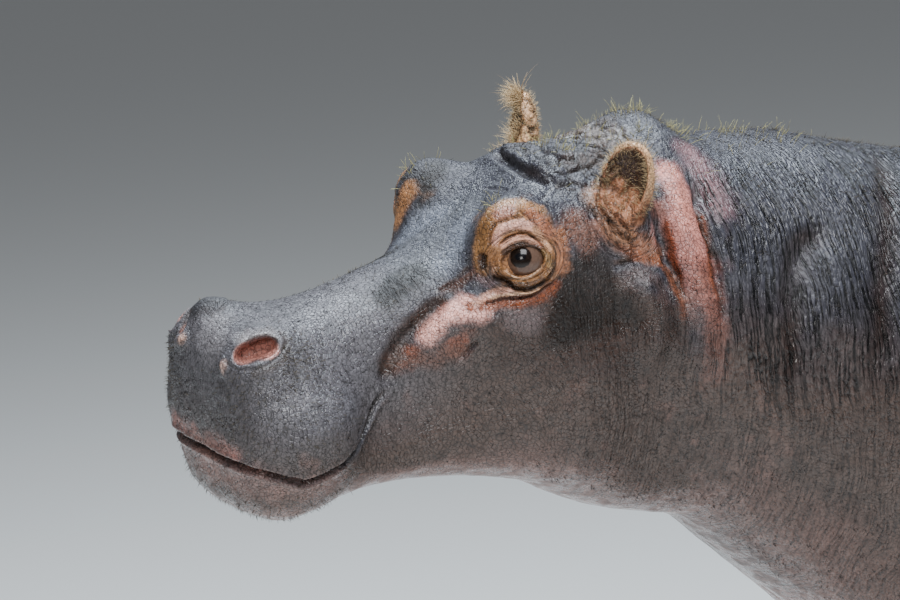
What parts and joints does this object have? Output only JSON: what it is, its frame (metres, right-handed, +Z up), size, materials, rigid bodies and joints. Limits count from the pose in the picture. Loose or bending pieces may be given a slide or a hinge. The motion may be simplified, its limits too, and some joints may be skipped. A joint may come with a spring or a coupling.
{
  "type": "standing hippopotamus figure",
  "caption": "Life-size still model of an adult hippopotamus cow, standing on four feet with her head held level.",
  "frame": {"origin": "on the floor, below the middle of the bounding box", "axes": "+Z up, -Y the way the animal faces, +X to its left"},
  "size_m": [1.0074, 3.1054, 1.5502],
  "materials": {
    "hide": "wet, wrinkled, grey-purple to brown",
    "pink_hide": "moist pink-brown skin with short hair",
    "eye": "wet and glossy",
    "toenail": "dull dark horn"
  },
  "bodies": {
    "root": {"ear_left": "pink_hide", "ear_right": "pink_hide", "eye_left": "eye", "eye_right": "eye", "head": "hide", "leg_front_left": "hide", "leg_front_right": "hide", "leg_hind_left": "hide", "leg_hind_right": "hide", "lower_jaw": "hide", "neck": "hide", "tail": "hide", "toenail_front_left_1": "toenail", "toenail_front_left_2": "toenail", "toenail_front_left_3": "toenail", "toenail_front_left_4": "toenail", "toenail_front_right_1": "toenail", "toenail_front_right_2": "toenail", "toenail_front_right_3": "toenail", "toenail_front_right_4": "toenail", "toenail_hind_left_1": "toenail", "toenail_hind_left_2": "toenail", "toenail_hind_left_3": "toenail", "toenail_hind_left_4": "toenail", "toenail_hind_right_1": "toenail", "toenail_hind_right_2": "toenail", "toenail_hind_right_3": "toenail", "toenail_hind_right_4": "toenail", "trunk": "hide"}
  },
  "joints": []
}
